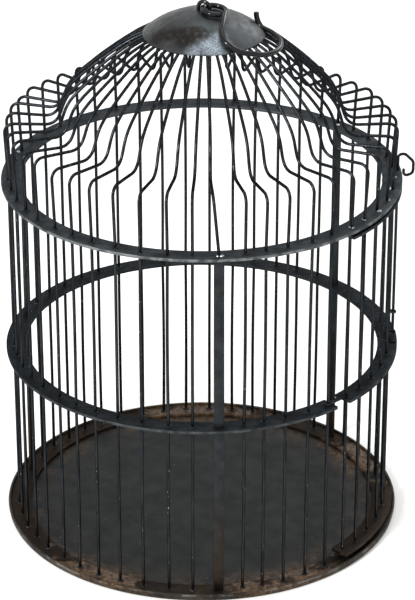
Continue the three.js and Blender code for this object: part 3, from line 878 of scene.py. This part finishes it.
class CAGE_OT_hoops(bpy.types.Operator):
    """Base, middle and upper hoop: flat bar rings punched for the bars, the straps and the latch pin"""

    bl_idname = "birdcage.hoops"
    bl_label = "Hoops"

    def execute(self, context):
        sizes = context.scene.cage_sizes
        bars = full_bars(sizes)
        pin_hole = round_hole(pin_place(), sizes.pin / 2 + 0.0004)
        whole = [arc(HOOP_OUT, 0, FULL_TURN, 0.03)[:-1], arc(HOOP_IN, 0, -FULL_TURN, 0.03)[:-1]]
        cut = [band_outline(*sweep_of("mid_hoop"))]
        for name, outside, holes, look, slot in (
            ("base_hoop", whole, [], "rusted_bar", "rusted_bar"),
            ("mid_hoop", cut, strap_slots(sizes) + [pin_hole], "shaded_low_bar", "bar_steel"),
            ("upper_hoop", whole, [pin_hole], "bar", "bar_steel"),
        ):
            levels = levels_of(name)
            if holes:
                middle = sum(levels) / 2
                holes += [round_hole(bar.at_level(middle), sizes.wire / 2 + 0.0003) for bar in bars]
            mesh = unevened(plate(name, outside + holes, levels, sizes.edge), 0.00018, 0.035)
            place_piece(name + "_flat_ring", mesh, finish(context, look), "cage", [name])
        return {"FINISHED"}


class CAGE_OT_straps(bpy.types.Operator):
    """Three upright straps of flat bar"""

    bl_idname = "birdcage.straps"
    bl_label = "Upright Straps"

    def execute(self, context):
        sizes = context.scene.cage_sizes
        section = soft_oblong(sizes.strap_wide, sizes.strap_thick, 0.0005)
        wander = 0.0012
        for strap in STRAPS:
            low, high = levels_of(strap)
            turn = azimuth(foot_of(strap))
            path = []
            for i in range(17):
                level = low + (high - low) * i / 16
                path.append(polar(BAR_CIRCLE, turn + wander * math.sin(level * 13 + turn), level))
            side = polar(1, turn + math.pi / 2, 0)
            mesh = mesh_of(strap, rod(path, section, side, 0.0003, 0.94))
            place_piece(strap + "_flat_bar", mesh, finish(context, "strap"), "cage", [strap])
        return {"FINISHED"}


class CAGE_OT_bars(bpy.types.Operator):
    """The bent bars that run from the base hoop up under the cap"""

    bl_idname = "birdcage.bars"
    bl_label = "Bars"

    def execute(self, context):
        sizes = context.scene.cage_sizes
        look = finish(context, "wire")
        section = circle(sizes.wire / 2, 12)
        for bar in full_bars(sizes):
            mesh = mesh_of(bar.name, rod(full_path(bar, sizes), section))
            place_piece(bar.name + "_bent_bar", mesh, look, "cage", [bar.name])
        return {"FINISHED"}


# The short bar over the front strap leans to one side.
FRONT_LEAN = -0.028


class CAGE_OT_short_bars(bpy.types.Operator):
    """The three short dome bars that stand on the upper hoop over the straps"""

    bl_idname = "birdcage.short_bars"
    bl_label = "Short Dome Bars"

    def execute(self, context):
        sizes = context.scene.cage_sizes
        look = finish(context, "wire")
        section = circle(sizes.wire / 2, 12)
        rng = random.Random(19)
        for name in SHORT_WIRES:
            bar = Bar(name, sizes, rng, lean=FRONT_LEAN if name == "dome_wire_front" else 0.0)
            foot = polar(bar.high, bar.turn, UPPER_LEVELS[1] - 0.0001)
            mesh = mesh_of(name, rod(dome_path(bar, sizes, foot), section))
            place_piece(name + "_bent_bar", mesh, look, "cage", [name])
        return {"FINISHED"}


class CAGE_OT_bars_over_door(bpy.types.Operator):
    """The six short bars over the door, held together by a run of weld under the cap"""

    bl_idname = "birdcage.bars_over_door"
    bl_label = "Bars Over The Door"

    def execute(self, context):
        sizes = context.scene.cage_sizes
        section = circle(sizes.wire / 2, 12)
        rng = random.Random(23)
        parts = []
        ends = []
        for turn in DOOR_TURNS:
            bar = Bar("dome_wires_over_door", sizes, rng)
            bar.turn = turn + rng.uniform(-1, 1) * sizes.hand / BAR_CIRCLE
            bar.shoulder_turn = bar.turn
            bar.sag = sizes.shoulder_sag * (1 + math.cos(turn - sizes.sag_turn))
            bar.rise = sizes.shoulder_rise - bar.sag + rng.uniform(-1.5, 1.5) * sizes.hand
            foot = polar(bar.high, bar.turn, UPPER_LEVELS[1] - 0.0001)
            path = dome_path(bar, sizes, foot)
            parts.append(rod(path, section))
            ends.append(path[-1] + Vector((0, 0, 0.0004)))
        run = flowing([ends[0] * 2 - ends[1], *ends, ends[-1] * 2 - ends[-2]], 4)[3:-3]
        parts.append(rod(run, circle(0.0015, 8), soft=0.001))
        node = "dome_wires_over_door"
        mesh = mesh_of(node, joined(parts))
        place_piece("bars_over_door", mesh, finish(context, "wire"), "cage", [node])
        return {"FINISHED"}


class CAGE_OT_door(bpy.types.Operator):
    """Door: three curved bands of flat bar with six upright bars through them"""

    bl_idname = "birdcage.door"
    bl_label = "Door"

    def execute(self, context):
        sizes = context.scene.cage_sizes
        outline = band_outline(*sweep_of("door_top_band"))
        hole = sizes.wire / 2 + 0.0002
        holes = [round_hole(polar(BAR_CIRCLE, turn, 0), hole) for turn in DOOR_TURNS]
        bottom, top = levels_of("door_bottom_band"), levels_of("door_top_band")
        for name, node, levels, cuts, look, slot in (
            ("door_bottom_band", "door_bottom_band", bottom, [], "rusted_bar", "rusted_bar"),
            ("door_middle_band", "door_grille", MID_LEVELS, holes, "shaded_low_bar", "bar_steel"),
            ("door_top_band", "door_top_band", top, [], "shaded_low_bar", "bar_steel"),
        ):
            mesh = unevened(plate(name, [outline, *cuts], levels, sizes.edge), 0.00015, 0.03)
            place_piece(name + "_flat_bar", mesh, finish(context, look), "door", [node])
        self.upright_bars(circle(sizes.wire / 2, 12), finish(context, "wire"))
        return {"FINISHED"}

    def upright_bars(self, section, look):
        """The six bars, each a little wavy between its ends."""
        low, high = levels_of("door_grille")
        sunk = 0.0003
        levels = [low - sunk + (high - low + 2 * sunk) * i / 14 for i in range(15)]
        for i, turn in enumerate(DOOR_TURNS):
            path = [polar(BAR_CIRCLE, turn + 0.0010 * math.sin(level * 11 + i), level) for level in levels]
            path[0], path[-1] = polar(BAR_CIRCLE, turn, levels[0]), polar(BAR_CIRCLE, turn, levels[-1])
            name = f"door_bar_{i + 1}"
            place_piece(name, mesh_of(name, rod(path, section)), look, "door", ["door_grille"])


# Width and length of the keeper's slot, and the nip of its corners.
KEEPER_SLOT = (0.0048, 0.0070, 0.0009)


class CAGE_OT_keeper(bpy.types.Operator):
    """Keeper: the lug on the door's middle band that the latch pin drops through"""

    bl_idname = "birdcage.keeper"
    bl_label = "Door Keeper"

    def execute(self, context):
        points = corners_of("door_keeper")
        turns = [azimuth(point) for point in points]
        radii = [radius_of(point) for point in points]
        across, along, nip = KEEPER_SLOT
        slot = oblong_hole(pin_place(), across, along, PIN_TURN, nip)
        outline = band_outline(min(turns), max(turns), min(radii), max(radii), 0.0014)
        mesh = plate("door_keeper", [outline, slot], levels_of("door_keeper"), 0.0003)
        look = finish(context, "shaded_low_bar")
        place_piece("door_keeper_lug", mesh, look, "door", ["door_keeper"])
        return {"FINISHED"}


def eyed_outline(centre, towards, tail, out, half):
    """Outline of a flat eye with a straight tail towards a second place."""
    way = (towards - centre).to_2d().normalized()
    aside = Vector((-way.y, way.x))
    begin = math.asin(half / out)
    turns = [begin + (FULL_TURN - 2 * begin) * i / 24 for i in range(25)]
    nip = 0.0008
    steps = [
        (tail, half - nip), (tail - nip, half),
        *((out * math.cos(turn), out * math.sin(turn)) for turn in turns),
        (tail - nip, -half), (tail, nip - half),
    ]
    return [tuple(centre.to_2d() + way * along + aside * across) for along, across in steps[::-1]]


# Outer radius and half the tail's width of the hinge loops and of the latch guide, the hinge loops' lap
# on the door's bands, the guide's place and thickness, and the room round the bars in all three.
HINGE_LOOP = (0.0040, 0.0022)
HINGE_LAP = 0.0022
GUIDE_LOOP = (0.0033, 0.0015)
GUIDE_ABOVE_HOOP = 0.024
GUIDE_THICK = 0.002
EYE_RUN = 0.0004


class CAGE_OT_eyes(bpy.types.Operator):
    """Hinge loops on the door and the guide loop that keeps the latch pin in line"""

    bl_idname = "birdcage.eyes"
    bl_label = "Hinge Loops And Latch Guide"

    def execute(self, context):
        sizes = context.scene.cage_sizes
        look = finish(context, "shaded_low_bar")
        hinge = polar(BAR_CIRCLE, HINGE_TURN, 0)
        band = polar(BAR_CIRCLE, sweep_of("door_top_band")[0], 0)
        outline = eyed_outline(hinge, band, (band - hinge).length + HINGE_LAP, *HINGE_LOOP)
        hole = round_hole(hinge, sizes.wire / 2 + EYE_RUN, 18)
        for name in ("hinge_loop_middle", "hinge_loop_top"):
            mesh = plate(name, [outline, hole], levels_of(name), 0.0004)
            place_piece(name + "_flat_eye", mesh, look, "door", [name])
        pin = pin_place()
        bar = polar(BAR_CIRCLE, LATCH_BAR_TURN, 0)
        outline = eyed_outline(pin, bar, (bar - pin).length, *GUIDE_LOOP)
        hole = round_hole(pin, sizes.pin / 2 + EYE_RUN, 18)
        low = MID_LEVELS[1] + GUIDE_ABOVE_HOOP
        mesh = plate("latch_guide", [outline, hole], (low, low + GUIDE_THICK), 0.0003)
        place_piece("latch_guide_flat_eye", mesh, look, "cage", ["cage_wire_06"])
        return {"FINISHED"}


# Corners of the pin's handle: out from the pin, above the upper hoop, and the bend there.
PIN_HANDLE = (
    (0.0, 0.0166, 0.004), (0.007, 0.017, 0.005), (0.0156, 0.0085, 0.007), (0.0153, -0.0042, 0.005),
    (0.006, -0.0072, 0.003), (0.0058, 0.001, 0.0),
)


class CAGE_OT_latch_pin(bpy.types.Operator):
    """Latch pin: one bent wire with a handle loop at its top"""

    bl_idname = "birdcage.latch_pin"
    bl_label = "Latch Pin"

    def execute(self, context):
        sizes = context.scene.cage_sizes
        foot, _ = levels_of("latch_pin")
        hoop = UPPER_LEVELS[1]
        stations = [foot + (hoop - foot) * i / 20 for i in range(21)]
        straight = [(polar(PIN_CIRCLE, PIN_TURN, level), 0) for level in stations]
        handle = [(polar(PIN_CIRCLE + out, PIN_TURN, hoop + rise), bend) for out, rise, bend in PIN_HANDLE]
        path = bent([*straight, *handle], 0.12)
        side = polar(1, PIN_TURN + math.pi / 2, 0)
        mesh = mesh_of("latch_pin", rod(path, circle(sizes.pin / 2, 14), side, 0.0007, 0.5))
        look = finish(context, "wire")
        place_piece("latch_pin_bent_wire", mesh, look, "latch", ["latch_pin"])
        return {"FINISHED"}


def cap_sphere():
    """Radius and middle of the sphere that the cap's outside follows."""
    rise = CAP_LEVELS[1] - cap_rim()
    radius = (CAP_OUT ** 2 + rise ** 2) / (2 * rise)
    return radius, CAP_LEVELS[1] - radius


def cap_rim():
    """Level of the cap's outer edge."""
    return max(point.z for point in corners_of("cap") if point.x > CAP_ASIDE + CAP_OUT - 1e-4)


def lie_way():
    """Plan direction in which the hook lies and the place that it turns about, read from its joint."""
    swing = next(joint for joint in frame["joints"] if joint["name"] == "hook_swing")
    return Vector((-swing["axis"][1], swing["axis"][0], 0)).normalized(), Vector(swing["pos_m"])


class CAGE_OT_cap(bpy.types.Operator):
    """Cap: a shallow dome of sheet, hand-burnished, with a slightly rolled rim"""

    bl_idname = "birdcage.cap"
    bl_label = "Cap"

    def execute(self, context):
        radius, middle = cap_sphere()
        sheet = 0.0015
        rows = 22

        def domed(reach, drop):
            outs = [reach * i / rows for i in range(rows + 1)]
            return [(out, middle + math.sqrt(radius ** 2 - out ** 2) - drop) for out in outs]

        outside = domed(CAP_OUT, 0.0)
        inside = domed(CAP_OUT - sheet / 2, sheet)
        rim_out, rim_level = outside[-1]
        lip = [(rim_out - 0.0001, rim_level - 0.0006), (rim_out - 0.0003, rim_level - 0.0012)]
        mesh = mesh_of("cap", lathed(inside + lip[::-1] + outside[::-1], 120))
        for vertex in mesh.vertices:
            spot = vertex.co / 0.021
            spot.z = 0
            dent = noise.noise(spot) * 0.0007 + noise.noise(spot * 3.1) * 0.00015 - 0.0003
            vertex.co.z += dent * min(1.0, radius_of(vertex.co) / 0.02)
            vertex.co.x += CAP_ASIDE
        look = finish(context, "cap")
        place_piece("cap_burnished_dome", mesh, look, "cage", ["cap"])
        return {"FINISHED"}


class CAGE_OT_staple(bpy.types.Operator):
    """Staple in the middle of the cap, its feet clenched over underneath"""

    bl_idname = "birdcage.staple"
    bl_label = "Cap Staple"

    def execute(self, context):
        sizes = context.scene.cage_sizes
        way, seat = lie_way()
        low, high = levels_of("cap_eye")
        crown = high - sizes.staple / 2
        feet = low + sizes.staple / 2
        half = 0.0058
        out = half + 0.0085
        corners = (
            (-out, feet, 0), (-half, feet, 0.0026), (-half, crown, 0.0055),
            (half, crown, 0.0055), (half, feet, 0.0026), (out, feet, 0),
        )
        middle = Vector((seat.x, seat.y, 0))
        path = bent([(middle + way * x + Vector((0, 0, level)), bend) for x, level, bend in corners], 0.12)
        mesh = mesh_of("cap_eye", rod(path, circle(sizes.staple / 2, 14), way.cross(Vector((0, 0, 1)))))
        place_piece("cap_staple", mesh, finish(context, "gloss"), "cage", ["cap_eye"])
        return {"FINISHED"}


# The hook's way over the cap and the dome bars in plan: down to the front, round and back.
HOOK_WAY = (
    (0.0210, -0.0240), (0.0195, -0.0390), (0.0230, -0.0495), (0.0360, -0.0545), (0.0500, -0.0530),
    (0.0620, -0.0470), (0.0710, -0.0370), (0.0760, -0.0240), (0.0755, -0.0110), (0.0690, -0.0010),
    (0.0600, 0.0075),
)
# The turned-up tip: how far along and how far up it has gone, as shares, and its whole way and rise.
HOOK_TIP = ((0.35, 0.12), (0.60, 0.40), (0.72, 0.70), (0.75, 1.0))
HOOK_TIP_WAY = Vector((-0.009, 0.008, 0.002))
HOOK_TIP_RISE = Vector((0, 0, 0.013))


def hook_level(spot, rod_size):
    """Level of the hook's centre line over one place in plan, read from its node in the frame."""
    near = [p.z for p in corners_of("hook") if (p.to_2d() - spot).length < rod_size * 0.85]
    return (min(near) + max(near)) / 2


class CAGE_OT_hook(bpy.types.Operator):
    """Hook: one gloss black rod bent to a closed ring and a big open crook, lying on the cap"""

    bl_idname = "birdcage.hook"
    bl_label = "Hook"

    def execute(self, context):
        sizes = context.scene.cage_sizes
        way, seat = lie_way()
        back = Vector((0, 0, 1)).cross(way)
        ring = sizes.hook_ring
        far = seat + way * 2 * ring
        dip = math.atan2(seat.z - hook_level(far.to_2d(), sizes.hook), 2 * ring)
        down = way * math.cos(dip) - Vector((0, 0, math.sin(dip)))
        middle = seat + down * ring
        turns = [math.radians(-34 - 326 * i / 44) for i in range(45)]
        loop = [middle + down * ring * math.cos(turn) + back * ring * math.sin(turn) for turn in turns]
        route = [Vector((x, y, hook_level(Vector((x, y)), sizes.hook))) for x, y in HOOK_WAY]
        end = route[-1]
        end.z = route[-2].z + (route[-2].z - route[-3].z) * 0.6
        tip = [end + HOOK_TIP_WAY * go + HOOK_TIP_RISE * rise for go, rise in HOOK_TIP]
        path = loop[:-1] + flowing([loop[-2], loop[-1], *route, *tip], 7)[7:]
        mesh = mesh_of("hook", rod(path, circle(sizes.hook / 2, 16), soft=0.0012, end_share=0.55))
        place_piece("hook_gloss_rod", mesh, finish(context, "gloss"), "hook", ["hook"])
        return {"FINISHED"}


class CAGE_OT_welds(bpy.types.Operator):
    """Weld beads where the bars meet the hoops and the door's bands"""

    bl_idname = "birdcage.welds"
    bl_label = "Weld Beads"

    def execute(self, context):
        rng = random.Random(41)
        rows = (
            ("base_hoop_beads", "rusted_bar", BASE_TOP, 0.0031, []),
            ("mid_hoop_beads", "bar_steel", MID_LEVELS[1], 0.0027, []),
            ("upper_hoop_beads", "bar_steel", UPPER_LEVELS[1], 0.0029, []),
        )
        for bar in full_bars(context.scene.cage_sizes):
            for _, _, level, reach, beads in rows:
                size = reach * rng.uniform(0.85, 1.2)
                aside = polar(rng.uniform(-0.0004, 0.0004), bar.turn, 0)
                beads.append(lump(bar.at_level(level) + aside, size, size * 0.45, rng))
        fresh = []
        for turn in [*DOOR_TURNS, *(azimuth(foot_of(strap)) for strap in STRAPS)]:
            for _ in range(2):
                out = BAR_CIRCLE + rng.uniform(-0.003, 0.004)
                place = polar(out, turn + rng.uniform(-0.012, 0.012), UPPER_LEVELS[1] - 0.0002)
                fresh.append(lump(place, rng.uniform(0.0014, 0.0026), rng.uniform(0.0010, 0.0017), rng))
        door = []
        for turn in DOOR_TURNS:
            for level in (levels_of("door_bottom_band")[1], MID_LEVELS[1]):
                place = polar(BAR_CIRCLE, turn, level)
                door.append(lump(place, 0.0028 * rng.uniform(0.85, 1.2), 0.0013, rng))
        for name, slot, _, _, beads in rows:
            place_piece(name, mesh_of(name, joined(beads)), finish(context, "weld"), "cage")
        for name, beads, look, body in (
            ("upper_hoop_fresh_beads", fresh, "bright_weld", "cage"),
            ("door_band_beads", door, "weld", "door"),
        ):
            place_piece(name, mesh_of(name, joined(beads)), finish(context, look), body)
        return {"FINISHED"}


class CAGE_OT_stage(bpy.types.Operator):
    """Pale floor, soft studio light and the camera"""

    bl_idname = "birdcage.stage"
    bl_label = "Studio"

    def execute(self, context):
        scene = context.scene
        studio = scene.cage_studio
        corners = [Vector((x, y, 0)) for x, y in ((-30, -30), (30, -30), (30, 30), (-30, 30))]
        mesh = mesh_of("studio_floor", (corners, [[0, 1, 2, 3]]))
        mesh.materials.append(finish(context, "floor"))
        floor = bpy.data.objects.new("studio_floor", mesh)
        floor.location.z = -0.0004
        scene.collection.objects.link(floor)
        scene.world = bpy.data.worlds.new("soft_surround")
        scene.world.use_nodes = True
        surround = scene.world.node_tree.nodes["Background"]
        surround.inputs["Color"].default_value = (1, 1, 1, 1)
        surround.inputs["Strength"].default_value = studio.world
        middle = Vector((0, 0, 0.25))
        for name, place, size, power in (
            ("key_softbox", (-1.5, -1.9, 1.5), 0.5, studio.key),
            ("overhead_softbox", (0.2, 0.3, 2.8), 1.6, studio.top),
            ("back_softbox", (1.4, 2.0, 1.9), 0.9, studio.back),
        ):
            light = bpy.data.lights.new(name, "AREA")
            light.size = size
            light.energy = power
            lamp = bpy.data.objects.new(name, light)
            lamp.location = place
            lamp.rotation_euler = (middle - Vector(place)).to_track_quat("-Z", "Y").to_euler()
            scene.collection.objects.link(lamp)
        camera = bpy.data.objects.new("camera", bpy.data.cameras.new("camera"))
        camera.data.lens = studio.lens
        camera.data.shift_x = 0.0097
        camera.data.shift_y = 0.0417
        away = Vector((0, -math.cos(studio.elevation), math.sin(studio.elevation))) * studio.distance
        camera.location = away + Vector((0, 0, studio.aim))
        camera.rotation_euler = (math.pi / 2 - studio.elevation, 0, 0)
        scene.collection.objects.link(camera)
        scene.camera = camera
        scene.view_settings.view_transform = "Standard"
        return {"FINISHED"}


BUILD = (
    CAGE_OT_stage, CAGE_OT_base_pan, CAGE_OT_hoops, CAGE_OT_straps, CAGE_OT_bars, CAGE_OT_short_bars,
    CAGE_OT_bars_over_door, CAGE_OT_door, CAGE_OT_keeper, CAGE_OT_eyes, CAGE_OT_latch_pin, CAGE_OT_cap,
    CAGE_OT_staple, CAGE_OT_hook, CAGE_OT_welds,
)


class CAGE_PT_panel(bpy.types.Panel):
    """Sidebar panel that lists the pieces"""

    bl_idname = "CAGE_PT_panel"
    bl_label = "Bird Cage"
    bl_space_type = "VIEW_3D"
    bl_region_type = "UI"
    bl_category = "Bird Cage"

    def draw(self, context):
        layout = self.layout
        for step in BUILD:
            layout.operator(step.bl_idname)
        for group in (context.scene.cage_sizes, context.scene.cage_colours, context.scene.cage_studio):
            box = layout.box()
            for name in group.bl_rna.properties.keys():
                if name not in ("rna_type", "name"):
                    box.prop(group, name)


GROUPS = {"cage_sizes": CageSizes, "cage_colours": CageColours, "cage_studio": CageStudio}


def register():
    """Registers the settings, the operators and the panel."""
    for item in (*GROUPS.values(), *BUILD, CAGE_PT_panel):
        bpy.utils.register_class(item)
    for name, group in GROUPS.items():
        setattr(bpy.types.Scene, name, bpy.props.PointerProperty(type=group))


def unregister():
    """Takes them away again."""
    for name in GROUPS:
        delattr(bpy.types.Scene, name)
    for item in reversed((*GROUPS.values(), *BUILD, CAGE_PT_panel)):
        bpy.utils.unregister_class(item)


def main():
    """Builds every piece."""
    register()
    for step in BUILD:
        group, name = step.bl_idname.split(".")
        getattr(getattr(bpy.ops, group), name)()


if __name__ == "__main__":
    main()
